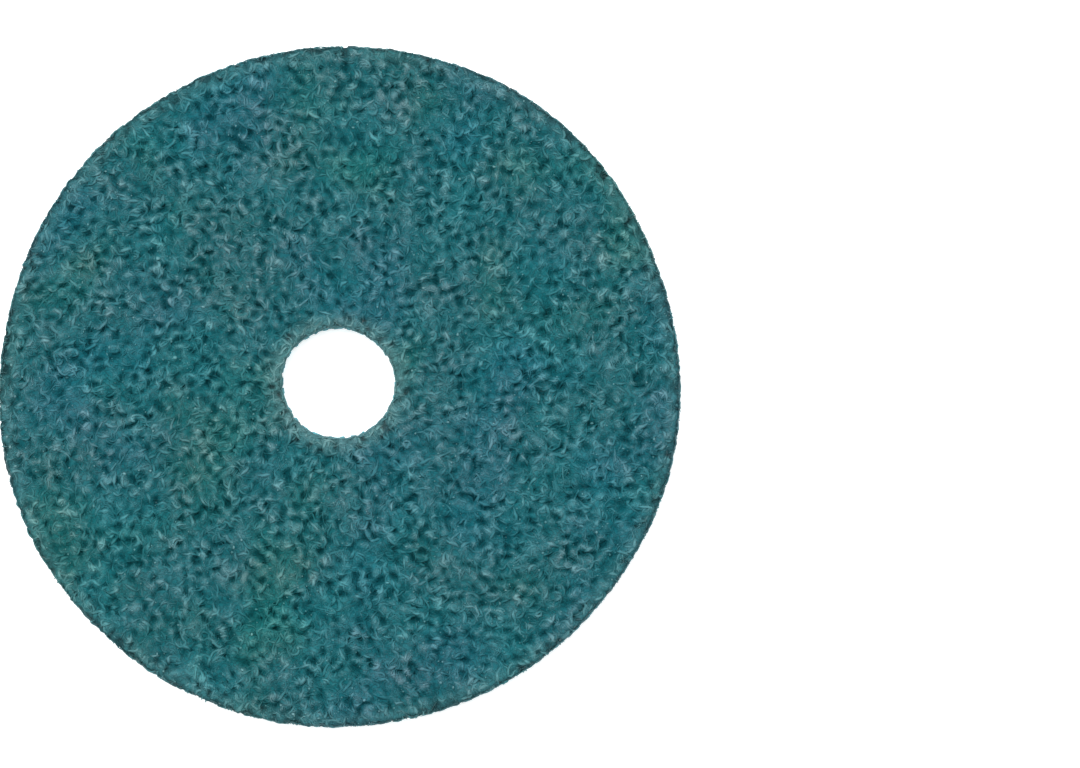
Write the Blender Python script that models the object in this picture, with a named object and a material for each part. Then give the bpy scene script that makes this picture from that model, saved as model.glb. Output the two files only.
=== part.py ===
"""Surface conditioning disc for a small angle grinder: a non-woven abrasive web on a woven backing scrim.

Units are metres, +Z is up. The origin is the centre of the back face: the disc lies on its scrim, with the
abrasive face up. Both layers are die-cut rings round one centre hole, so each is a section turned about Z.
"""

import math

import bmesh
import bpy

# ---------------------------------------------------------------- driving dimensions
DISC_DIAMETER = 0.100  # nominal size of the disc, at the web's cut edge
HOLE_DIAMETER = 0.016  # centre hole in the scrim, which locates the disc on its holder pad
TOTAL_THICKNESS = 0.0060  # back of the scrim to the working face

SCRIM_THICKNESS = 0.0006  # plain-woven cloth, two yarns deep
SCRIM_SETBACK = 0.0002  # the cloth's cut edge stands this far inside the web's
LAYER_GAP = 0.0003  # between the cloth and the web it is bonded to

WEB_HOLE_GROWTH = 0.0003  # the springy web opens a little wider than the cloth when the hole is punched
FRONT_EDGE_RADIUS = 0.0007  # the die draws the front edges down into a small round
BACK_EDGE_CHAMFER = 0.0002

SEGMENTS = 144  # facets round the disc, a multiple of four so that the box is exactly the diameter
ROUND_STEPS = 5  # facets in each rounded front edge

# ---------------------------------------------------------------- colours (linear RGB) and finish
WEB_COLOUR = (0.034, 0.155, 0.172, 1.0)
SCRIM_COLOUR = (0.135, 0.390, 0.435, 1.0)


def clear_scene():
    for obj in list(bpy.data.objects):
        bpy.data.objects.remove(obj, do_unlink=True)


def make_material(name, colour, roughness, metallic):
    material = bpy.data.materials.new(name)
    material.use_nodes = True
    shader = material.node_tree.nodes["Principled BSDF"]
    shader.inputs["Base Color"].default_value = colour
    shader.inputs["Roughness"].default_value = roughness
    shader.inputs["Metallic"].default_value = metallic
    return material


def quarter_round(centre_r, centre_z, radius, start_deg, end_deg):
    """Points of an arc in the section plane, as (distance from the axis, height)."""
    points = []
    for step in range(ROUND_STEPS + 1):
        angle = math.radians(start_deg + (end_deg - start_deg) * step / ROUND_STEPS)
        points.append(
            (centre_r + radius * math.cos(angle), centre_z + radius * math.sin(angle))
        )
    return points


def turned_ring(name, section, material):
    """A ring made by spinning a closed section, given as (distance from the axis, height), once about Z."""
    mesh = bpy.data.meshes.new(name)
    bm = bmesh.new()
    loop = [bm.verts.new((r, 0.0, z)) for r, z in section]
    edges = [
        bm.edges.new((loop[i], loop[(i + 1) % len(loop)])) for i in range(len(loop))
    ]
    bmesh.ops.spin(
        bm,
        geom=loop + edges,
        cent=(0.0, 0.0, 0.0),
        axis=(0.0, 0.0, 1.0),
        angle=2.0 * math.pi,
        steps=SEGMENTS,
        use_merge=True,
        use_normal_flip=False,
        use_duplicate=False,
    )
    bmesh.ops.remove_doubles(bm, verts=bm.verts, dist=1e-6)
    bmesh.ops.recalc_face_normals(bm, faces=bm.faces)
    bm.to_mesh(mesh)
    bm.free()
    mesh.shade_smooth()
    mesh.set_sharp_from_angle(angle=math.radians(35.0))
    mesh.materials.append(material)
    obj = bpy.data.objects.new(name, mesh)
    bpy.context.scene.collection.objects.link(obj)
    return obj


def scrim_section():
    """Flat punched cloth: a plain rectangle from the centre hole out to the cut edge."""
    inner = HOLE_DIAMETER / 2.0
    outer = DISC_DIAMETER / 2.0 - SCRIM_SETBACK
    return [
        (inner, 0.0),
        (outer, 0.0),
        (outer, SCRIM_THICKNESS),
        (inner, SCRIM_THICKNESS),
    ]


def web_section():
    """The lofty web: square at the back, where it meets the cloth, and rounded over at both front edges."""
    inner = (HOLE_DIAMETER + WEB_HOLE_GROWTH) / 2.0
    outer = DISC_DIAMETER / 2.0
    bottom = SCRIM_THICKNESS + LAYER_GAP
    top = TOTAL_THICKNESS
    c = BACK_EDGE_CHAMFER
    f = FRONT_EDGE_RADIUS
    section = [
        (inner + c, bottom),
        (outer - c, bottom),
        (outer, bottom + c),
    ]
    section += quarter_round(outer - f, top - f, f, 0.0, 90.0)
    section += quarter_round(inner + f, top - f, f, 90.0, 180.0)
    section += [(inner, bottom + c)]
    return section


def main():
    clear_scene()

    disc = bpy.data.objects.new("surface_conditioning_disc", None)
    bpy.context.scene.collection.objects.link(disc)

    scrim = turned_ring(
        "backing_scrim",
        scrim_section(),
        make_material("scrim_weave", SCRIM_COLOUR, 0.75, 0.0),
    )
    scrim.parent = disc

    web = turned_ring(
        "abrasive_web",
        web_section(),
        make_material("abrasive_fibre", WEB_COLOUR, 0.85, 0.0),
    )
    web.parent = disc


main()
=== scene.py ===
"""Looks of the surface conditioning disc.

The abrasive web is built as real fibres: thousands of crimped, resin-coated strands that wander round the pits of a
dense felted core, with cut strand ends on the rim and in the centre hole. The back is a real plain weave, with the
dark web behind it and a few needled strands showing through. Everything is seeded and computed here.
"""

import math

import bpy
import numpy as np
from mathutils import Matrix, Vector


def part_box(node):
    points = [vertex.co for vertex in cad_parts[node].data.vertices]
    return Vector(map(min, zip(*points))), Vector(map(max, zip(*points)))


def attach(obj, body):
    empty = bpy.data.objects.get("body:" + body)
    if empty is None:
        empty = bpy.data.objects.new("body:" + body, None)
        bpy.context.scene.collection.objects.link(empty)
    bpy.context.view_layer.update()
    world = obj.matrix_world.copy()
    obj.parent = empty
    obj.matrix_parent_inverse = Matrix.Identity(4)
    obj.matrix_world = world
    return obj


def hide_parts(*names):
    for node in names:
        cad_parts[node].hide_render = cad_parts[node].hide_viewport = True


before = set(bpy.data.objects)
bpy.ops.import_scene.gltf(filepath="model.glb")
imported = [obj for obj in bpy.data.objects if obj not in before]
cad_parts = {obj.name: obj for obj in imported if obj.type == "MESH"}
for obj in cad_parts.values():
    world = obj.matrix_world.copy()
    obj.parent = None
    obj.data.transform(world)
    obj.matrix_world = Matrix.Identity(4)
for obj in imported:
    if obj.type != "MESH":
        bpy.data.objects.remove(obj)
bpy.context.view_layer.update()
web_low, web_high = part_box("abrasive_web")
scrim_low, scrim_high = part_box("backing_scrim")

MM = 0.001
SEED = 20611

# ---------------------------------------------------------------- the two die-cut outlines
RIM_R = web_high.x
TOP = web_high.z
HOLE_R = 8.15 * MM
SCRIM_RIM_R = scrim_high.x
SCRIM_HOLE_R = 8.1 * MM
HOLE_AT = np.array([-0.28, 0.50]) * MM  # the punch is never quite central
# Slow waves in the cut edges, in mm: (waves round the disc, cosine part, sine part).
RIM_WAVES = ((2, 0.01, 0.27), (3, -0.04, -0.06), (4, -0.06, -0.05), (5, 0.03, -0.12), (7, 0.05, -0.05))
HOLE_WAVES = ((2, 0.13, -0.05), (3, 0.04, 0.02), (5, 0.01, 0.04))

# ---------------------------------------------------------------- the web's structure
RELIEF = 0.20 * MM  # spread of the clumps and hollows of the felt
PIT_DEPTH = 0.55 * MM  # how much further the deepest hollows go down
FIBRE_R = 0.090 * MM
EDGE_ROUND = 0.75 * MM

# ---------------------------------------------------------------- the backing cloth
PITCH = 1.53 * MM
YARN_WIDE = 1.02 * MM
YARN_HIGH = 0.27 * MM
WEAVE_TURN = math.radians(20.0)


# ================================================================ outlines
def waves(theta, terms):
    total = np.zeros_like(theta)
    for count, even, odd in terms:
        total += even * np.cos(count * theta) + odd * np.sin(count * theta)
    return total * MM


def rim_at(theta, radius=RIM_R):
    return radius - 0.10 * MM + waves(theta, RIM_WAVES)


def hole_at(theta, radius=HOLE_R):
    return radius + waves(theta, HOLE_WAVES)


def room(x, y, rim=RIM_R, hole=HOLE_R):
    """Distance from each point to the nearer cut edge: positive on the ring, and which edge it is (True for the rim)."""
    to_rim = rim_at(np.arctan2(y, x), rim) - np.hypot(x, y)
    hx, hy = x - HOLE_AT[0], y - HOLE_AT[1]
    to_hole = np.hypot(hx, hy) - hole_at(np.arctan2(hy, hx), hole)
    return np.minimum(to_rim, to_hole), to_rim < to_hole


# ================================================================ smooth random fields over the disc
class Field:
    """A field of unit spread on a fine grid, read at any point of the disc."""

    STEP = 0.14 * MM
    COUNT = 800

    def __init__(self, grid):
        self.grid = (grid - grid.mean()) / grid.std()
        self.slope_y, self.slope_x = np.gradient(self.grid, self.STEP)

    @classmethod
    def band(cls, wavelength, spread, seed):
        """Isotropic noise with wavelengths near a given one, within this many octaves."""
        rng = np.random.default_rng(seed)
        noise = np.fft.rfft2(rng.standard_normal((cls.COUNT, cls.COUNT)))
        fy = np.fft.fftfreq(cls.COUNT, cls.STEP)[:, None]
        fx = np.fft.rfftfreq(cls.COUNT, cls.STEP)[None, :]
        octaves = np.log2(np.maximum(np.hypot(fx, fy), 1e-6) * wavelength)
        return cls(np.fft.irfft2(noise * np.exp(-0.5 * (octaves / spread) ** 2), s=(cls.COUNT, cls.COUNT)))

    @classmethod
    def places(cls):
        at = (np.arange(cls.COUNT) - cls.COUNT / 2) * cls.STEP
        return np.meshgrid(at, at)

    def read(self, grid, x, y):
        gx = np.clip(x / self.STEP + self.COUNT / 2, 0, self.COUNT - 1.001)
        gy = np.clip(y / self.STEP + self.COUNT / 2, 0, self.COUNT - 1.001)
        ix, iy = gx.astype(int), gy.astype(int)
        tx, ty = gx - ix, gy - iy
        return (
            grid[iy, ix] * (1 - tx) * (1 - ty)
            + grid[iy, ix + 1] * tx * (1 - ty)
            + grid[iy + 1, ix] * (1 - tx) * ty
            + grid[iy + 1, ix + 1] * tx * ty
        )

    def at(self, x, y):
        return self.read(self.grid, x, y)

    def slope(self, x, y):
        return self.read(self.slope_x, x, y), self.read(self.slope_y, x, y)


def felt():
    """The clumps and hollows of the felt, positive in a hollow: two sizes of clump, pulled about into uneven shapes
    and standing out more in some places than in others."""
    small, large = Field.band(1.98 * MM, 0.48, SEED + 1), Field.band(3.8 * MM, 0.45, SEED + 5)
    pull_x, pull_y = Field.band(3.6 * MM, 0.5, SEED + 6), Field.band(3.6 * MM, 0.5, SEED + 7)
    strong = Field.band(9.0 * MM, 0.7, SEED + 8)
    x, y = Field.places()
    u = x + 0.16 * MM * pull_x.grid
    v = y + 0.16 * MM * pull_y.grid
    contrast = np.clip(1 + 0.16 * strong.grid, 0.6, 1.5)
    return Field((small.at(u, v) + 0.34 * large.at(u, v)) * contrast)


lumps = felt()
clouds = Field.band(6.0 * MM, 0.65, SEED + 4)  # where the strands lie thicker or thinner
swell = Field.band(12.0 * MM, 0.6, SEED + 2)  # slow unevenness in loft and resin
fine = Field.band(0.9 * MM, 0.4, SEED + 3)


def smooth(low, high, value):
    t = np.clip((value - low) / (high - low), 0, 1)
    return t * t * (3 - 2 * t)


def pits(x, y):
    return smooth(0.5, 2.4, lumps.at(x, y))


def clump_tone(x, y):
    """How light the felt is from place to place: its own uneven tone, with painted light and shade laid over it. The
    clumps are painted lighter and the hollows darker, the pits darkest, and a band of painted shade runs along the rim."""
    height = -lumps.at(x, y)
    depth, outer = room(x, y)
    # Painted shade: the outermost strands along the rim are darkened, where the rounded cut edge falls away from the
    # light.
    rim_shade = np.where(outer, 0.60 * np.exp(-((np.clip(depth, 0, 1) / (0.66 * MM)) ** 2)), 0.0)
    # Painted highlight on the tops of the highest clumps, and painted shade in the deepest hollows.
    ends = 0.10 * smooth(0.9, 2.3, height) - 0.07 * smooth(0.6, 2.0, -height)
    return 0.424 + 0.118 * np.clip(height, -2.4, 2.8) + ends + 0.060 * clouds.at(x, y) + 0.040 * swell.at(x, y) - rim_shade


def edge_drop(depth, radius=EDGE_ROUND):
    inside = np.clip(radius - depth, 0, radius)
    return radius - np.sqrt(radius**2 - inside**2)


def surface(x, y):
    """Height of the web's upper skin."""
    depth, _ = room(x, y)
    return (
        TOP
        - 0.34 * MM
        - PIT_DEPTH * pits(x, y)
        - RELIEF * np.clip(lumps.at(x, y), -2.0, 2.0)
        + 0.06 * MM * np.clip(clouds.at(x, y), -2, 2)
        - edge_drop(depth)
    )


def wall_spot(theta, z, outer):
    """Where the fields are read for a point of a cut wall, so that they run on down it, with no seam round it."""
    reach = np.where(outer, 45.5 * MM, 6.5 * MM) + z
    return reach * np.cos(theta), reach * np.sin(theta)


def wall_tone(theta, z, outer):
    x, y = wall_spot(theta, z, outer)
    return 0.40 - 0.16 * np.clip(lumps.at(x, y), -2.4, 2.4) + 0.05 * clouds.at(x, y) + 0.03 * swell.at(x, y)


def wall_depth(theta, z, outer):
    """How far a cut wall's skin lies inside the die's outline."""
    x, y = wall_spot(theta, z, outer)
    return 0.14 * MM + 0.42 * MM * pits(x, y) + 0.11 * MM * np.clip(lumps.at(x, y), -1.2, 2.0)


# ================================================================ meshes
def make_mesh(name, points, faces, material, smooth_shaded=True):
    """An object from points and a list of face arrays, each of one corner count."""
    mesh = bpy.data.meshes.new(name)
    corners = np.concatenate([f.ravel() for f in faces]).astype(np.int32)
    counts = np.concatenate([np.full(len(f), f.shape[1]) for f in faces]).astype(np.int32)
    starts = np.concatenate([[0], np.cumsum(counts)[:-1]]).astype(np.int32)
    mesh.vertices.add(len(points))
    mesh.vertices.foreach_set("co", points.astype(np.float32).ravel())
    mesh.loops.add(len(corners))
    mesh.loops.foreach_set("vertex_index", corners)
    mesh.polygons.add(len(counts))
    mesh.polygons.foreach_set("loop_start", starts)
    mesh.update(calc_edges=True)
    if smooth_shaded:
        mesh.shade_smooth()
    mesh.materials.append(material)
    piece = bpy.data.objects.new(name, mesh)
    bpy.context.scene.collection.objects.link(piece)
    return piece


def store(piece, name, values):
    attribute = piece.data.attributes.new(name, "FLOAT", "POINT")
    attribute.data.foreach_set("value", values.astype(np.float32))


def store_map(piece, name, places):
    layer = piece.data.uv_layers.new(name=name, do_init=False)
    layer.uv.foreach_set("vector", places.astype(np.float32).ravel())


def unit(vectors):
    return vectors / np.maximum(np.linalg.norm(vectors, axis=1, keepdims=True), 1e-12)


def sweep(points, line, wide, high, sides, turn=0.0):
    """Closed tubes along many lines at once. points are the lines' points one after another, line is each point's
    line, and wide and high are the half-widths of the section there, across and upwards."""
    joined = np.zeros(len(points), bool)
    joined[:-1] = line[1:] == line[:-1]
    follows = np.zeros(len(points), bool)
    follows[1:] = joined[:-1]
    ahead = np.where(joined[:, None], np.roll(points, -1, 0), points)
    behind = np.where(follows[:, None], np.roll(points, 1, 0), points)
    along = unit(ahead - behind)
    side = np.cross(np.array([0.0, 0.0, 1.0]), along)
    steep = np.linalg.norm(side, axis=1) < 0.05
    side[steep] = np.cross(np.array([1.0, 0.0, 0.0]), along[steep])
    side = unit(side)
    lift = np.cross(along, side)
    angle = turn + 2 * np.pi * np.arange(sides) / sides
    ring = (
        points[:, None, :]
        + (wide[:, None] * np.cos(angle))[:, :, None] * side[:, None, :]
        + (high[:, None] * np.sin(angle))[:, :, None] * lift[:, None, :]
    ).reshape(-1, 3)
    k = np.arange(sides)
    after = (k + 1) % sides
    at = np.flatnonzero(joined)[:, None] * sides
    quads = np.stack([at + k, at + after, at + sides + after, at + sides + k], -1).reshape(-1, 4)
    first = np.flatnonzero(~follows & joined)[:, None] * sides
    last = np.flatnonzero(follows & ~joined)[:, None] * sides
    caps = np.concatenate([first + k[::-1], last + k])
    return ring, quads, caps


def line_cells(points, line, sides, quads, caps):
    """A map on which every strand has a strip of its own, so that its colours can be stored along it."""
    joined = np.zeros(len(points), bool)
    joined[:-1] = line[1:] == line[:-1]
    starts = np.flatnonzero(np.concatenate([[True], ~joined[:-1]]))
    order = np.repeat(np.arange(len(starts)), np.diff(np.append(starts, len(points))))
    length = np.diff(np.append(starts, len(points)))
    along = (np.arange(len(points)) - starts[order]) / np.maximum(length[order] - 1, 1)
    columns = max(1, int(math.sqrt(len(starts) / 4.0)))
    rows = math.ceil(len(starts) / columns)
    left = (order % columns) / columns
    low = (order // columns) / rows
    pad_x, pad_y = 1.2 / 1024, 1.2 / 1024
    wide, high = 1 / columns - 2 * pad_x, 1 / rows - 2 * pad_y

    def place(vertex, around):
        point = vertex // sides
        return np.stack([left[point] + pad_x + along[point] * wide, low[point] + pad_y + around * high], -1)

    k = np.tile(np.array([0, 1, 1, 0]), (len(quads), 1))
    lane = (quads[:, :1] % sides + k) / sides
    quad_places = place(quads, lane)
    cap_lane = np.tile(np.arange(caps.shape[1]) / sides, (len(caps), 1))
    cap_places = place(caps, cap_lane)
    nudge = np.where(np.arange(caps.shape[1]) % 2 == 0, 0.0, 0.8 / 1024)
    cap_places[:, :, 0] += nudge
    return np.concatenate([quad_places.reshape(-1, 2), cap_places.reshape(-1, 2)])


# ================================================================ materials
def new_material(name, roughness, specular=0.35):
    material = bpy.data.materials.new(name)
    material.use_nodes = True
    tree = material.node_tree
    shader = tree.nodes["Principled BSDF"]
    shader.inputs["Roughness"].default_value = roughness
    shader.inputs["Specular IOR Level"].default_value = specular
    return material, tree, shader


def node(tree, kind, **settings):
    made = tree.nodes.new(kind)
    for key, value in settings.items():
        setattr(made, key, value)
    return made


def noise(tree, where, scale, detail=2.0, roughness=0.55):
    made = node(tree, "ShaderNodeTexNoise")
    made.inputs["Scale"].default_value = scale
    made.inputs["Detail"].default_value = detail
    made.inputs["Roughness"].default_value = roughness
    tree.links.new(where, made.inputs["Vector"])
    return made.outputs["Fac"]


def ramp(tree, value, stops):
    made = node(tree, "ShaderNodeValToRGB")
    band = made.color_ramp
    while len(band.elements) < len(stops):
        band.elements.new(0.5)
    for element, (place, colour) in zip(band.elements, stops):
        element.position = place
        element.color = (*colour, 1.0) if len(colour) == 3 else colour
    tree.links.new(value, made.inputs["Fac"])
    return made.outputs["Color"]


def mix(tree, share, first, second, way="MIX"):
    made = node(tree, "ShaderNodeMix", data_type="RGBA", blend_type=way)
    made.clamp_result = False
    for socket, value in ((made.inputs[0], share), (made.inputs[6], first), (made.inputs[7], second)):
        if isinstance(value, bpy.types.NodeSocket):
            tree.links.new(value, socket)
        elif isinstance(value, tuple):
            socket.default_value = (*value, 1.0)
        else:
            socket.default_value = value
    return made.outputs[2]


def number(tree, operation, first, second=None, clamp=False):
    made = node(tree, "ShaderNodeMath", operation=operation, use_clamp=clamp)
    for socket, value in ((made.inputs[0], first), (made.inputs[1], second)):
        if isinstance(value, bpy.types.NodeSocket):
            tree.links.new(value, socket)
        elif value is not None:
            socket.default_value = value
    return made.outputs[0]


def spread(tree, value, low, high, to_low=0.0, to_high=1.0):
    made = node(tree, "ShaderNodeMapRange", interpolation_type="SMOOTHSTEP")
    tree.links.new(value, made.inputs["Value"])
    for key, amount in (("From Min", low), ("From Max", high), ("To Min", to_low), ("To Max", to_high)):
        made.inputs[key].default_value = amount
    return made.outputs["Result"]


def streaks(tree, uv_map, scale):
    """Noise drawn out along a map of (millimetres along, turns round)."""
    lengths = node(tree, "ShaderNodeUVMap", uv_map=uv_map)
    stretched = node(tree, "ShaderNodeMapping")
    stretched.inputs["Scale"].default_value = scale
    tree.links.new(lengths.outputs["UV"], stretched.inputs["Vector"])
    return noise(tree, stretched.outputs["Vector"], 1.0, 2.0, 0.6)


def matted(tree, here):
    """A mat of curly fibres, 1 on a fibre and 0 between: where smooth noise crosses its middle, it draws a thread."""
    mat = None
    for scale, shift, wide in ((640.0, (0.11, 0.02, 0.07), 0.030), (820.0, (0.43, 0.29, 0.13), 0.036), (1150.0, (0.71, 0.53, 0.37), 0.042)):
        moved = node(tree, "ShaderNodeMapping")
        moved.inputs["Location"].default_value = shift
        tree.links.new(here, moved.inputs["Vector"])
        off = number(tree, "ABSOLUTE", number(tree, "SUBTRACT", noise(tree, moved.outputs["Vector"], scale, 1.0, 0.5), 0.5))
        thread = spread(tree, off, 0.0, wide, 1.0, 0.0)
        mat = thread if mat is None else number(tree, "MAXIMUM", mat, thread)
    return mat


def attribute(tree, name):
    return node(tree, "ShaderNodeAttribute", attribute_name=name).outputs["Fac"]


def bump(tree, shader, height, strength, distance):
    made = node(tree, "ShaderNodeBump")
    made.inputs["Strength"].default_value = strength
    made.inputs["Distance"].default_value = distance
    tree.links.new(height, made.inputs["Height"])
    tree.links.new(made.outputs["Normal"], shader.inputs["Normal"])


WEB_TONES = (
    (0.00, (0.0003, 0.069, 0.084)),
    (0.25, (0.0075, 0.111, 0.130)),
    (0.50, (0.0290, 0.153, 0.176)),
    (0.60, (0.0480, 0.178, 0.203)),
    (0.75, (0.0740, 0.216, 0.242)),
    (1.00, (0.1180, 0.282, 0.310)),
)
CUT_DARK = (0.125, 0.145, 0.138)
CUT_EDGE = (0.145, 0.305, 0.312)


def web_colour(tree, tone):
    """The web's teal: from dark to light with tone, mottled in hue, speckled with grain, greyer where it is cut."""
    here = node(tree, "ShaderNodeTexCoord").outputs["Object"]
    base = ramp(tree, tone, WEB_TONES)
    green, even, blue = (1.00, 1.04, 0.92), (1.0, 1.0, 1.0), (1.00, 0.97, 1.05)
    hue = ramp(tree, noise(tree, here, 66.0, 1.5), ((0.33, green), (0.48, even), (0.54, even), (0.69, blue)))
    base = mix(tree, 1.0, base, hue, "MULTIPLY")
    shifted = node(tree, "ShaderNodeMapping")
    shifted.inputs["Location"].default_value = (0.31, 0.17, 0.05)
    tree.links.new(here, shifted.inputs["Vector"])
    clean, dusty = (0.65, 1.01, 1.01), (1.28, 0.99, 0.98)
    dust = noise(tree, shifted.outputs["Vector"], 96.0, 1.0)
    base = mix(tree, 1.0, base, ramp(tree, dust, ((0.31, clean), (0.49, even), (0.69, dusty))), "MULTIPLY")
    edge = attribute(tree, "cut_edge")
    base = mix(tree, edge, base, ramp(tree, tone, ((0.0, CUT_DARK), (0.24, CUT_EDGE))))
    grain = spread(tree, noise(tree, here, 7200.0, 3.0, 0.6), 0.30, 0.72, 0.85, 1.15)
    return here, mix(tree, 1.0, base, grain, "MULTIPLY")


def fibre_material():
    material, tree, shader = new_material("resin_coated_fibre", 0.72, 0.22)
    here, colour = web_colour(tree, attribute(tree, "tone"))
    tree.links.new(colour, shader.inputs["Base Color"])
    grit = noise(tree, here, 9500.0, 3.0, 0.65)
    bump(tree, shader, grit, 0.75, 0.00007)
    return material


def bundle_material():
    """As the strands', with the filaments of each bundle drawn along it."""
    material, tree, shader = new_material("bonded_fibre_bundle", 0.74, 0.20)
    here, colour = web_colour(tree, attribute(tree, "tone"))
    filaments = streaks(tree, "lie", (1.1, 5.5, 1.0))
    colour = mix(tree, 1.0, colour, spread(tree, filaments, 0.30, 0.70, 0.84, 1.15), "MULTIPLY")
    tree.links.new(colour, shader.inputs["Base Color"])
    grit = noise(tree, here, 9500.0, 3.0, 0.65)
    bump(tree, shader, number(tree, "ADD", filaments, number(tree, "MULTIPLY", grit, 0.6)), 0.9, 0.00009)
    return material


def core_material():
    """The felt between the strands: a mat of finer fibres."""
    material, tree, shader = new_material("felted_core", 0.90, 0.12)
    mat = matted(tree, node(tree, "ShaderNodeTexCoord").outputs["Object"])
    tone = number(tree, "ADD", attribute(tree, "tone"), spread(tree, mat, 0.0, 1.0, -0.05, 0.13))
    here, colour = web_colour(tree, tone)
    tree.links.new(colour, shader.inputs["Base Color"])
    felt = noise(tree, here, 2600.0, 5.0, 0.68)
    bump(tree, shader, number(tree, "ADD", number(tree, "MULTIPLY", mat, 0.5), felt), 1.0, 0.00030)
    return material


# ================================================================ strands
def walk(rng, x, y, heading, steps, step, steer, stray):
    """Paths of crimped strands that turn away from the pits as they go, as arrays of (strand, point)."""
    count = len(x)
    xs, ys = np.empty((count, steps + 1)), np.empty((count, steps + 1))
    drift = rng.normal(0, 0.08, count)
    crimp, pace, phase = rng.uniform(0.10, 0.62, count), rng.uniform(0.9, 2.0, count), rng.uniform(0, 2 * np.pi, count)
    for i in range(steps + 1):
        xs[:, i], ys[:, i] = x, y
        gx, gy = lumps.slope(x, y)
        way = heading + stray * crimp * np.sin(phase + pace * i)
        c, s = np.cos(way), np.sin(way)
        away = -(c * gy - s * gx) * MM
        drift = 0.75 * drift + rng.normal(0, 0.075, count)
        heading = heading + drift * stray + np.clip(steer * away, -0.35, 0.35)
        x, y = x + step * c, y + step * s
    return xs, ys


def slow_noise(rng, rows, columns, keep=0.7):
    """Random numbers of about unit spread that change slowly along each row."""
    raw = rng.standard_normal((rows, columns))
    for i in range(1, columns):
        raw[:, i] = keep * raw[:, i - 1] + math.sqrt(1 - keep**2) * raw[:, i]
    return raw


def first_runs(inside, first=0, last=99):
    """The stretch of each path between two of its points, or until it leaves the ring, if that is long enough."""
    index = np.arange(inside.shape[1])[None, :]
    kept = np.logical_and.accumulate(inside | (index < first), axis=1) & inside & (index >= first) & (index <= last)
    kept[kept.sum(1) < 4] = False
    return kept


def scatter(rng, count, depth=0.15 * MM):
    """Even random places on the ring, this far inside its cut edges."""
    found = np.empty((0, 2))
    while len(found) < count:
        tried = rng.uniform(-RIM_R, RIM_R, (count * 2, 2))
        inside = room(tried[:, 0], tried[:, 1])[0] > depth
        found = np.concatenate([found, tried[inside]])
    return found[:count, 0], found[:count, 1]


def end_dip(kept):
    """How near each kept point is to an end of its strand: 1 at the ends, and 0 from three points in."""
    index = np.arange(kept.shape[1])[None, :]
    start = kept.argmax(1)[:, None]
    from_end = np.minimum(index - start, start + kept.sum(1)[:, None] - 1 - index)
    return np.clip(1 - from_end / 2.5, 0, 1) ** 1.5


def strand_piece(name, material, rng, points, kept, radius, tone, edge, sides=3, flat=1.0):
    line = np.repeat(np.arange(len(kept)), kept.sum(1))
    points, radius, tone, edge = points[kept], radius[kept], tone[kept], edge[kept]
    ring, quads, caps = sweep(points, line, radius, radius * flat, sides, math.pi / 2)
    piece = make_mesh(name, ring, [quads, caps], material)
    store(piece, "tone", np.repeat(np.clip(tone, 0, 1), sides))
    store(piece, "cut_edge", np.repeat(np.clip(edge, 0, 1), sides))
    store_map(piece, "OFBake", line_cells(points, line, sides, quads, caps))
    return piece


def edge_tint(x, y):
    """How greyed the web is near its cut edges, where the die has broken the resin off the strands."""
    depth, outer = room(x, y)
    return np.where(outer, 0.32 * (1 - smooth(1.0 * MM, 2.9 * MM, depth)), 0.95 * (1 - smooth(0.0, 3.2 * MM, depth)))


def top_layer(name, material, seed, budget, cover, wobble, steer, bright, coarse=1.0, uneven=0.09, ply=3):
    """One layer of strands on the working face, bonded in bundles of ply. cover is how far it lies under the skin."""
    rng = np.random.default_rng(seed)
    steps, step = 7, 0.42 * MM
    bundles = int(budget / 6 / 5.3 / ply)
    count = bundles * ply
    x, y = scatter(rng, bundles)
    xs, ys = walk(rng, x, y, rng.uniform(0, 2 * np.pi, bundles), steps, step, steer, 1.0)
    across_x, across_y = -np.gradient(ys, axis=1) / step, np.gradient(xs, axis=1) / step
    aside = 0.13 * MM * rng.standard_normal((count, 1)) + 0.05 * MM * slow_noise(rng, count, steps + 1)
    if ply == 1:
        aside = aside * 0
    xs = np.repeat(xs, ply, 0) + aside * np.repeat(across_x, ply, 0)
    ys = np.repeat(ys, ply, 0) + aside * np.repeat(across_y, ply, 0)
    kept = first_runs(
        room(xs, ys)[0] > 0.03 * MM, rng.integers(0, 3, (count, 1)), steps - rng.integers(0, 3, (count, 1))
    )
    rise = slow_noise(rng, count, steps + 1)
    zs = surface(xs, ys) - cover + wobble * rise - 0.28 * MM * end_dip(kept)
    radius = FIBRE_R * coarse * np.exp(rng.normal(0, 0.22, count))[:, None]
    radius = radius * (1 + 0.16 * slow_noise(rng, count, steps + 1, 0.2))
    own = np.repeat(rng.normal(0, uneven, bundles), ply)[:, None] + rng.normal(0, 0.4 * uneven, count)[:, None]
    # Painted light and shade: strands are a touch lighter where they rise, and a lower layer is made darker through
    # bright.
    tone = clump_tone(xs, ys) + bright + own + 0.03 * rise
    points = np.stack([xs, ys, zs], -1)
    return strand_piece(name, material, rng, points, kept, np.clip(radius, 0.055 * MM, 0.19 * MM), tone, edge_tint(xs, ys))


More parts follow.
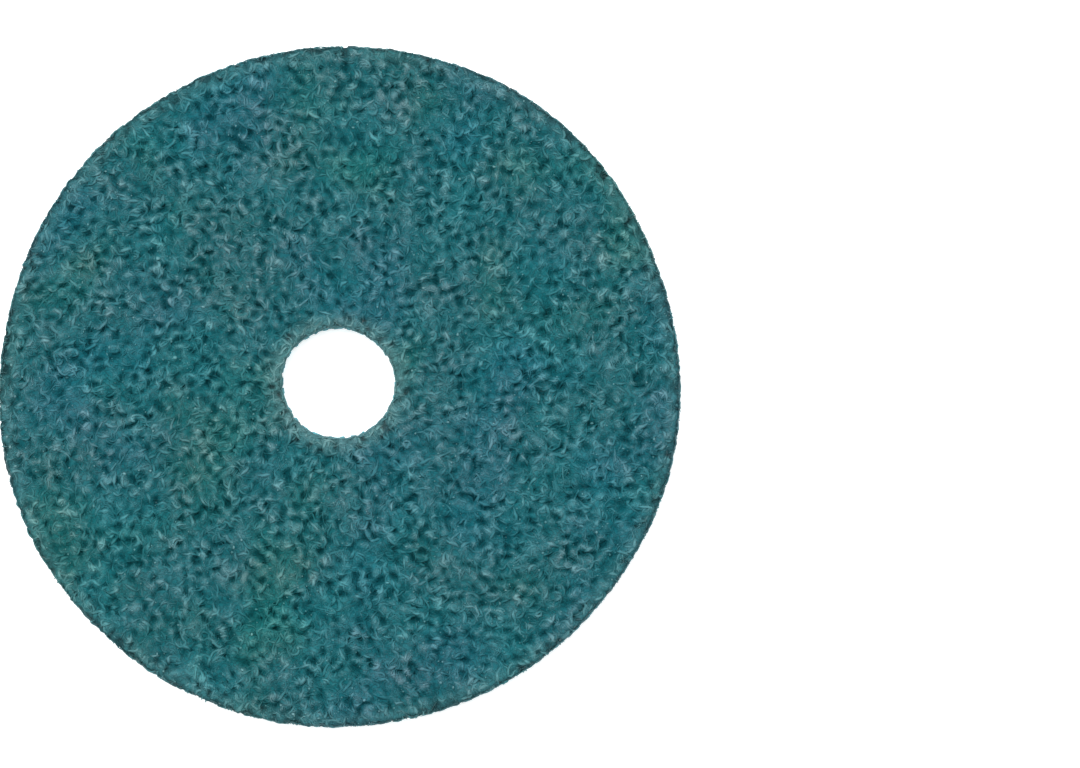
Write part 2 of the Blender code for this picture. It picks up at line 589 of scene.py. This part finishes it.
def bundle_layer(name, material, seed, budget, cover):
    """Bundles of strands that the resin has bonded into one, in a network round the pits."""
    rng = np.random.default_rng(seed)
    steps, step, sides = 5, 0.46 * MM, 4
    count = int(budget / 8 / 4.2)
    x, y = scatter(rng, count)
    xs, ys = walk(rng, x, y, rng.uniform(0, 2 * np.pi, count), steps, step, 0.42, 0.9)
    kept = first_runs(
        room(xs, ys)[0] > 0.18 * MM, rng.integers(0, 2, (count, 1)), steps - rng.integers(0, 2, (count, 1))
    )
    rise = slow_noise(rng, count, steps + 1)
    zs = surface(xs, ys) - cover + 0.05 * MM * rise - 0.20 * MM * end_dip(kept)
    radius = 0.225 * MM * np.exp(rng.normal(0, 0.20, count))[:, None] * (1 + 0.22 * slow_noise(rng, count, steps + 1, 0.3))
    radius = np.clip(radius, 0.12 * MM, 0.34 * MM) * (1 - 0.45 * end_dip(kept))
    # Painted light and shade: bundles are a touch lighter where they rise and darker at their ends, which dip into the
    # felt.
    tone = clump_tone(xs, ys) + 0.05 + rng.normal(0, 0.06, count)[:, None] + 0.04 * rise - 0.06 * end_dip(kept)
    points = np.stack([xs, ys, zs], -1)
    piece = strand_piece(name, material, rng, points, kept, radius, tone, edge_tint(xs, ys), sides, 0.60)
    # A second map, in millimetres along each bundle and in turns round it. Each bundle starts elsewhere on the noise.
    run = (np.arange(steps + 1)[None, :] * (step / MM) + rng.uniform(0, 900, (count, 1)))[kept]
    corner = np.empty(len(piece.data.loops), np.int32)
    piece.data.loops.foreach_get("vertex_index", corner)
    lane = (corner % sides) / sides
    store_map(piece, "lie", np.stack([np.repeat(run, sides)[corner], np.minimum(lane, 1 - lane) * 2], 1))
    return piece


def grit(name, material, seed, count):
    """Beads of resin and mineral that have set on the upper strands."""
    rng = np.random.default_rng(seed)
    golden = (1 + math.sqrt(5)) / 2
    corners = unit(
        np.array([(-1, golden, 0), (1, golden, 0), (-1, -golden, 0), (1, -golden, 0)])[:, [[0, 1, 2], [2, 0, 1], [1, 2, 0]]]
        .reshape(-1, 3)
        .astype(float)
    )
    near = np.linalg.norm(corners[:, None] - corners[None], axis=2) < 1.2
    faces = []
    for a in range(12):
        for b in range(a + 1, 12):
            for c in range(b + 1, 12):
                if near[a, b] and near[b, c] and near[a, c]:
                    outward = np.dot(np.cross(corners[b] - corners[a], corners[c] - corners[a]), corners[a]) > 0
                    faces.append((a, b, c) if outward else (a, c, b))
    faces = np.array(faces)
    x, y = scatter(rng, count, 0.35 * MM)
    size = 0.105 * MM * np.exp(rng.normal(0, 0.30, count))
    z = surface(x, y) - 0.04 * MM + rng.uniform(-0.3, 0.5, count) * size
    shape = corners[None] * (1 + rng.normal(0, 0.16, (count, 12)))[:, :, None]
    stretch = np.exp(rng.normal(0, 0.22, (count, 1, 3)))
    points = (np.stack([x, y, z], 1)[:, None] + shape * stretch * size[:, None, None]).reshape(-1, 3)
    triangles = (np.arange(count)[:, None, None] * 12 + faces[None]).reshape(-1, 3)
    piece = make_mesh(name, points, [triangles], material)
    tone = clump_tone(x, y) + 0.20 + rng.normal(0, 0.13, count)
    store(piece, "tone", np.repeat(np.clip(tone, 0, 1), 12))
    store(piece, "cut_edge", np.repeat(np.clip(edge_tint(x, y) + rng.uniform(0, 0.3, count), 0, 1), 12))
    # Every face has a cell of its own on the map.
    columns = math.ceil(math.sqrt(len(triangles)))
    k = np.arange(len(triangles))
    corner = np.array([(0.22, 0.22), (0.78, 0.22), (0.22, 0.78)])
    cell = np.stack([k % columns, k // columns], 1)[:, None] + corner[None]
    store_map(piece, "OFBake", (cell / columns).reshape(-1, 2))
    return piece


def edge_layer(name, material, seed, budget):
    """Strands that lie along the two cut walls, and the short cut ends that stand out of them."""
    rng = np.random.default_rng(seed)
    paths, radii, tones, cuts = [], [], [], []
    steps, step = 8, 0.52 * MM
    outline = 2 * np.pi * (RIM_R + HOLE_R)
    stubs = int(budget * 0.24 / (2 * 6 + 2))
    strands = int((budget - stubs * 14) / (steps * 6 + 2))
    bottom, top = 0.42 * MM, TOP - 0.40 * MM
    for outer, share in ((True, RIM_R * 2 * np.pi / outline), (False, HOLE_R * 2 * np.pi / outline)):
        size = RIM_R if outer else HOLE_R

        def on_wall(theta, depth, height):
            if outer:
                reach = rim_at(theta) - depth
                return np.stack([reach * np.cos(theta), reach * np.sin(theta), height], -1)
            reach = hole_at(theta) + depth
            return np.stack([HOLE_AT[0] + reach * np.cos(theta), HOLE_AT[1] + reach * np.sin(theta), height], -1)

        count = int(strands * share)
        theta, z = rng.uniform(0, 2 * np.pi, count), rng.uniform(bottom, top, count)
        slant = rng.normal(0, 0.42, count) + np.pi * rng.integers(0, 2, count)
        steep = rng.random(count) < 0.22
        slant = np.where(steep, rng.uniform(0, 2 * np.pi, count), slant)
        crimp, pace, phase = rng.uniform(0.1, 0.6, count), rng.uniform(0.9, 2.0, count), rng.uniform(0, 6.3, count)
        rows_t, rows_z = np.empty((count, steps + 1)), np.empty((count, steps + 1))
        for i in range(steps + 1):
            rows_t[:, i], rows_z[:, i] = theta, z
            slant = slant + rng.normal(0, 0.10, count)
            rising = np.sin(slant)
            slant = np.where((z > top - 0.25 * MM) & (rising > 0), -slant, slant)
            slant = np.where((z < bottom + 0.25 * MM) & (rising < 0), -slant, slant)
            way = slant + crimp * np.sin(phase + pace * i)
            theta = theta + step * np.cos(way) / size
            z = np.clip(z + step * np.sin(way), bottom, top)
        kept = np.ones(rows_t.shape, bool)
        rise = slow_noise(rng, count, steps + 1)
        buried = np.abs(rng.normal(0, 0.10, count))[:, None] * MM
        depth = wall_depth(rows_t, rows_z, outer) + buried - 0.05 * MM * rise + 0.30 * MM * end_dip(kept)
        depth = np.maximum(depth, 0.05 * MM) + edge_drop(TOP - 0.1 * MM - rows_z, 0.6 * MM)
        paths.append(on_wall(rows_t, depth, rows_z))
        coarse = np.where(rng.random(count) < 0.35, 1.75, 1.0)
        radius = FIBRE_R * coarse * np.exp(rng.normal(0.0, 0.22, count))
        radii.append(radius[:, None] * (1 + 0.18 * slow_noise(rng, count, steps + 1, 0.2)))
        # Painted light and shade: strands in the hole's wall are painted lighter against the shade in the hole, strands
        # that stand out are a touch lighter and buried ones darker, and brim is a band of painted shade round the top
        # of the outer wall, under the rim.
        tone = wall_tone(rows_t, rows_z, outer) + (0.10 if outer else 0.22) + rng.normal(0, 0.08, count)[:, None]
        brim = 0.55 * smooth(TOP - 1.3 * MM, TOP - 0.6 * MM, rows_z) if outer else 0.0
        tones.append(tone + 0.04 * rise - 0.9 * buried / MM - brim)
        cuts.append(np.full(rows_t.shape, 0.22 if outer else 0.36))

        count = int(stubs * share)
        theta = rng.uniform(0, 2 * np.pi, count)
        z = rng.uniform(bottom + 0.1 * MM, TOP - 0.5 * MM, count)
        face = np.minimum(wall_depth(theta, z, outer), 0.22 * MM)
        out = rng.uniform(-0.02, 0.12, count) * MM if outer else rng.uniform(-0.08, 0.03, count) * MM
        aside, lift = rng.normal(0, 0.26, count) * MM, rng.normal(0, 0.17, count) * MM
        spots = []
        for back in (1.0, 0.45, 0.0):
            sideways = theta + aside * (1 - back) / size
            height = np.maximum(z + lift * (1 - back), bottom)
            spots.append(on_wall(sideways, face - out * (1 - back) + 0.60 * MM * back, height))
        paths.append(np.stack(spots, 1))
        radii.append(np.repeat(FIBRE_R * rng.uniform(0.75, 1.2, count)[:, None], 3, 1))
        tones.append(wall_tone(theta, z, outer)[:, None] + 0.14 + np.repeat(rng.normal(0, 0.12, count)[:, None], 3, 1))
        cuts.append(np.tile(np.array([0.1, 0.3, 0.75]), (count, 1)))
    line = np.concatenate(
        [np.repeat(np.arange(p.shape[0]), p.shape[1]) + 1_000_000 * i for i, p in enumerate(paths)]
    )
    points = np.concatenate([p.reshape(-1, 3) for p in paths])
    radius = np.clip(np.concatenate([r.ravel() for r in radii]), 0.05 * MM, 0.21 * MM)
    tone = np.clip(np.concatenate([t.ravel() for t in tones]), 0, 1)
    ring, quads, caps = sweep(points, line, radius, radius, 3, math.pi / 2)
    piece = make_mesh(name, ring, [quads, caps], material)
    store(piece, "tone", np.repeat(tone, 3))
    store(piece, "cut_edge", np.repeat(np.concatenate([c.ravel() for c in cuts]), 3))
    store_map(piece, "OFBake", line_cells(points, line, 3, quads, caps))
    return piece


def back_layer(name, material, seed, budget):
    """Strands of the web that are bonded into the cloth, and needled loops that dip through its openings."""
    rng = np.random.default_rng(seed)
    steps, step = 15, 0.66 * MM
    count = int(budget / 6 / (steps * 0.94))
    x, y = scatter(rng, count, 0.4 * MM)
    xs, ys = walk(rng, x, y, rng.uniform(0, 2 * np.pi, count), steps, step, 0.0, 1.3)
    kept = first_runs(room(xs, ys)[0] > 0.3 * MM)
    zs = (0.35 + 0.03 * slow_noise(rng, count, steps + 1)) * MM
    u, v = turned(xs, ys, WEAVE_TURN)
    gap = np.abs(np.cos(np.pi * u / PITCH)) * np.abs(np.cos(np.pi * v / PITCH))
    needled = rng.random(count)[:, None] < 0.42
    zs = zs - needled * smooth(0.55, 0.95, gap) * 0.15 * MM
    radius = np.repeat(FIBRE_R * rng.uniform(0.65, 1.05, count)[:, None], steps + 1, 1)
    tone = 0.40 + rng.normal(0, 0.14, count)[:, None] + 0.04 * slow_noise(rng, count, steps + 1)
    points = np.stack([xs, ys, zs], -1)
    return strand_piece(name, material, rng, points, kept, radius, tone, np.zeros(xs.shape))


# ================================================================ the felted core
def core(material):
    """The dense inside of the web: a closed ring whose skin lies just under the strands, all over, and whose resin
    has run down between the yarns of the cloth."""
    rows, tones, cuts, around = [], [], [], 640
    theta = np.linspace(0, 2 * np.pi, around, endpoint=False)
    outer = np.stack([rim_at(theta) * np.cos(theta), rim_at(theta) * np.sin(theta)], 1)
    inner = HOLE_AT + np.stack([hole_at(theta) * np.cos(theta), hole_at(theta) * np.sin(theta)], 1)
    out = unit(outer - inner)
    under, wall = 0.22 * MM, 0.16 * MM
    bottom = 0.34 * MM
    length = np.linalg.norm(outer - inner, axis=1)[:, None]

    def flat(share, height, tone_at):
        at = inner + out * (0.30 * MM + (length - 0.60 * MM) * share)
        x, y = at[:, 0], at[:, 1]
        rows.append(np.concatenate([at, height(x, y)[:, None]], 1))
        tones.append(tone_at(x, y))
        cuts.append(0.5 * edge_tint(x, y))

    def upright(base, is_outer, share):
        brim = base - (1.0 if is_outer else -1.0) * out * 0.30 * MM
        brim_z = surface(brim[:, 0], brim[:, 1]) - under
        z = bottom + (brim_z - bottom) * share
        sunk = wall + wall_depth(theta, z, is_outer)
        at = base - (1.0 if is_outer else -1.0) * out * sunk[:, None]
        rows.append(np.concatenate([at, z[:, None]], 1))
        # Painted shade: the outer wall is darkened more than the hole's, under the rim, where the rounded edge falls
        # away from the light.
        tones.append(wall_tone(theta, z, is_outer) - (0.14 if is_outer else 0.02))
        cuts.append(np.full(around, 0.12 if is_outer else 0.30))

    tops = 96
    for i in range(tops + 1):
        # Painted shade: the felt's skin under the strands is coloured a little darker than the strands lying over it.
        flat(i / tops, lambda x, y: surface(x, y) - under + 0.06 * MM * fine.at(x, y), lambda x, y: clump_tone(x, y) - 0.05)
    for share in np.linspace(0.95, 0.04, 14):
        upright(outer, True, share)
    for i in range(6):
        flat(1 - i / 5, lambda x, y: bottom + 0.03 * MM * np.abs(fine.at(x, y)), lambda x, y: clump_tone(x, y) + 0.02 + 0.16 * clouds.at(x, y))
    for share in np.linspace(0.04, 0.95, 14):
        upright(inner, False, share)
    points = np.concatenate(rows)
    count = len(rows)
    r, k = np.meshgrid(np.arange(count), np.arange(around), indexing="ij")
    r2, k2 = (r + 1) % count, (k + 1) % around
    quads = np.stack([r * around + k, r2 * around + k, r2 * around + k2, r * around + k2], -1).reshape(-1, 4)
    piece = make_mesh("web_core", points, [quads], material)
    store(piece, "tone", np.clip(np.concatenate(tones), 0, 1))
    store(piece, "cut_edge", np.clip(np.concatenate(cuts), 0, 1))
    return piece


# ================================================================ the woven backing
def turned(x, y, angle):
    return x * math.cos(angle) + y * math.sin(angle), y * math.cos(angle) - x * math.sin(angle)


def yarn_section(t, offset, half, angle):
    """How much of a yarn's width is left at each place along it by the die cut: its two sides, across the yarn."""
    across = np.linspace(-1, 1, 31) * half
    a = offset + across[None, :]
    x = t[:, None] * math.cos(angle) - a * math.sin(angle)
    y = t[:, None] * math.sin(angle) + a * math.cos(angle)
    inside = room(x, y, SCRIM_RIM_R, SCRIM_HOLE_R)[0] > 0
    low = np.where(inside, across, 1.0).min(1)
    high = np.where(inside, across, -1.0).max(1)
    return np.where(inside.any(1), low, 0.0), np.where(inside.any(1), high, 0.0)


def yarn_runs(offset, half, angle):
    """Where a straight yarn at this offset crosses the ring of cloth: one stretch, or two beside the hole."""
    along = np.arange(-52.0, 52.0, 0.03) * MM
    low, high = yarn_section(along, offset, half, angle)
    inside = high - low > 0.22 * MM
    change = np.flatnonzero(np.diff(np.concatenate([[False], inside, [False]]).astype(int)))
    return [(along[a], along[b - 1]) for a, b in zip(change[::2], change[1::2])]


def cloth(material):
    """The plain weave: two sets of flattened yarns that pass over and under each other."""
    rng = np.random.default_rng(SEED + 40)
    sides = 6
    half = int(51 * MM / PITCH) + 1
    points, lines, wides, highs, tones, lengthwise = [], [], [], [], [], []
    made = 0
    for family, angle in enumerate((WEAVE_TURN, WEAVE_TURN + math.pi / 2)):
        for i in range(-half, half):
            offset = (i + 0.5) * PITCH
            phase = rng.uniform(0, 2 * np.pi, 4)
            own_wide, own_tone = rng.normal(1, 0.055), rng.normal(0, 0.07)
            for start, end in yarn_runs(offset, YARN_WIDE / 2 * own_wide, angle):
                if end - start < 0.9 * MM:
                    continue
                cell = PITCH / 2
                inner = np.arange(math.ceil(start / cell + 0.7), math.floor(end / cell - 0.7) + 1) * cell
                t = np.concatenate([[start, start + 0.2 * MM], inner, [end - 0.2 * MM, end]])
                drift = (
                    0.045 * np.sin(t / (7.3 * MM) + phase[0]) + 0.035 * np.sin(t / (2.9 * MM) + phase[1])
                ) * MM
                # The yarns of one set cross the other's midway between whole pitches. An over in one is an under in the other.
                swing = np.cos(np.pi * (t / PITCH - 0.5)) * (-1) ** i * (1 if family == 0 else -1)
                z = 0.300 * MM + 0.138 * MM * swing
                full = np.clip(0.055 * swell.at(*turned(t, offset, -angle)) + 0.035 * clouds.at(*turned(t, offset, -angle)), -0.12, 0.12)
                squeeze = 1 + 0.06 * np.abs(swing) + 0.05 * np.sin(t / (4.1 * MM) + phase[2]) + full
                low, high = yarn_section(t, offset, YARN_WIDE / 2 * own_wide, angle)
                trimmed = (high - low) < YARN_WIDE * own_wide * 0.98
                at = offset + np.where(trimmed, (low + high) / 2, drift)
                x = t * math.cos(angle) - at * math.sin(angle)
                y = t * math.sin(angle) + at * math.cos(angle)
                points.append(np.stack([x, y, z], 1))
                lines.append(np.full(len(t), made))
                wides.append(np.maximum((high - low) / 2 * np.where(trimmed, 1.0, squeeze), 0.08 * MM))
                highs.append(np.full(len(t), YARN_HIGH / 2))
                # Painted highlight and shade: each yarn is lighter where it bows down towards the back face and darker
                # where it dips up into the web.
                tones.append(0.5 + own_tone + 0.09 * np.sin(t / (5.7 * MM) + phase[3]) - 0.20 * swing)
                lengthwise.append(t)
                made += 1
    points, lines = np.concatenate(points), np.concatenate(lines)
    ring, quads, caps = sweep(points, lines, np.concatenate(wides), np.concatenate(highs), sides, -math.pi / 2)
    piece = make_mesh("backing_cloth", ring, [quads, caps], material)
    store(piece, "tone", np.repeat(np.clip(np.concatenate(tones), 0, 1), sides))
    store_map(piece, "OFBake", line_cells(points, lines, sides, quads, caps))
    # A second map, in metres along each yarn and in turns round it, draws its filaments.
    run = np.repeat(np.concatenate(lengthwise), sides)
    corner = np.concatenate([quads.ravel(), caps.ravel()])
    lane = np.concatenate(
        [((quads[:, :1] % sides + np.array([0, 1, 1, 0])) / sides).ravel(), (caps.ravel() % sides) / sides]
    )
    store_map(piece, "yarn", np.stack([run[corner] * 1000, lane], 1))
    return piece


YARN_DARK = (0.066, 0.280, 0.322)
YARN_MIDDLE = (0.130, 0.466, 0.534)
YARN_LIGHT = (0.270, 0.672, 0.742)


def yarn_material():
    material, tree, shader = new_material("scrim_yarn", 0.58, 0.38)
    here = node(tree, "ShaderNodeTexCoord").outputs["Object"]
    base = ramp(tree, attribute(tree, "tone"), ((0.0, YARN_DARK), (0.5, YARN_MIDDLE), (1.0, YARN_LIGHT)))
    stain = spread(tree, noise(tree, here, 90.0, 3.0), 0.35, 0.70, 0.86, 1.12)
    base = mix(tree, 1.0, base, stain, "MULTIPLY")
    size = spread(tree, noise(tree, here, 620.0, 2.0), 0.36, 0.66, 0.80, 1.22)
    base = mix(tree, 1.0, base, size, "MULTIPLY")
    filaments = streaks(tree, "yarn", (0.9, 34.0, 1.0))
    streak = spread(tree, filaments, 0.30, 0.70, 0.74, 1.22)
    base = mix(tree, 1.0, base, streak, "MULTIPLY")
    tree.links.new(base, shader.inputs["Base Color"])
    resin = noise(tree, here, 5200.0, 3.0, 0.6)
    height = number(tree, "ADD", filaments, number(tree, "MULTIPLY", resin, 0.45))
    bump(tree, shader, height, 0.7, 0.00006)
    return material


# ================================================================ build
fibre = fibre_material()
pieces = [
    core(core_material()),
    top_layer("web_strands_deep", fibre, SEED + 11, 110_000, 0.20 * MM, 0.06 * MM, 0.30, -0.02, 1.15, 0.04, 2),
    bundle_layer("web_bonded_bundles", bundle_material(), SEED + 15, 188_000, 0.13 * MM),
    top_layer("web_strands_face", fibre, SEED + 12, 124_000, 0.12 * MM, 0.04 * MM, 0.40, 0.00, 1.05, 0.03, 2),
    top_layer("web_strands_loose", fibre, SEED + 13, 26_000, 0.07 * MM, 0.05 * MM, 0.30, 0.00, 0.95, 0.04, 1),
    grit("web_resin_grit", fibre, SEED + 14, 2000),
    edge_layer("web_cut_edges", fibre, SEED + 21, 96_000),
    back_layer("web_needled_back", fibre, SEED + 31, 46_000),
]
for piece in pieces:
    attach(piece, "root")
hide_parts("abrasive_web")

scrim = cloth(yarn_material())
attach(scrim, "root")
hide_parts("backing_scrim")


# ================================================================ floor, light and camera
def stage_floor():
    mesh = bpy.data.meshes.new("floor")
    size = 4.0
    mesh.from_pydata([(-size, -size, 0), (size, -size, 0), (size, size, 0), (-size, size, 0)], [], [(0, 1, 2, 3)])
    material, tree, shader = new_material("pale_floor", 0.9, 0.1)
    shader.inputs["Base Color"].default_value = (0.92, 0.92, 0.92, 1.0)
    shader.inputs["Emission Color"].default_value = (1.0, 1.0, 1.0, 1.0)
    shader.inputs["Emission Strength"].default_value = 0.42
    mesh.materials.append(material)
    floor = bpy.data.objects.new("floor", mesh)
    bpy.context.scene.collection.objects.link(floor)


def area_light(name, place, size, power, colour=(1.0, 1.0, 1.0)):
    data = bpy.data.lights.new(name, "AREA")
    data.shape = "DISK"
    data.size = size
    data.energy = power
    data.color = colour
    lamp = bpy.data.objects.new(name, data)
    lamp.location = place
    lamp.rotation_mode = "QUATERNION"
    lamp.rotation_quaternion = (-Vector(place)).to_track_quat("-Z", "Y")
    bpy.context.scene.collection.objects.link(lamp)


def world_light(horizon, zenith):
    """A white studio, a little less bright overhead, where the lamp is, than at the horizon."""
    world = bpy.data.worlds.new("studio")
    world.use_nodes = True
    tree = world.node_tree
    upward = node(tree, "ShaderNodeSeparateXYZ")
    tree.links.new(node(tree, "ShaderNodeTexCoord").outputs["Generated"], upward.inputs["Vector"])
    stops = ((0.0, (horizon,) * 3), (0.26, (horizon,) * 3), (0.62, (zenith,) * 3), (1.0, (zenith,) * 3))
    tree.links.new(ramp(tree, upward.outputs["Z"], stops), tree.nodes["Background"].inputs["Color"])
    bpy.context.scene.world = world


def camera():
    """Straight above, with the disc at its place in the picture: the disc's centre is at (339.4, 386.6) of 1080 x 768
    pixels, and its cut edge, which is lower than its face and so a little smaller to the eye, has a radius of 340.7."""
    lens, sensor, wide = 220.0, 36.0, 1080.0
    pixel = RIM_R / 342.4
    data = bpy.data.cameras.new("camera")
    data.lens, data.sensor_width = lens, sensor
    data.sensor_fit = "HORIZONTAL"
    data.clip_start, data.clip_end = 0.01, 20.0
    eye = bpy.data.objects.new("camera", data)
    eye.location = (
        (540.0 - 339.4) * pixel,
        (386.6 - 384.0) * pixel,
        TOP + wide * pixel * lens / sensor,
    )
    bpy.context.scene.collection.objects.link(eye)
    bpy.context.scene.camera = eye


stage_floor()
world_light(1.0, 0.66)
area_light("key", (-0.11, 0.25, 0.98), 0.9, 11.0)
camera()
bpy.context.scene.view_settings.view_transform = "Standard"
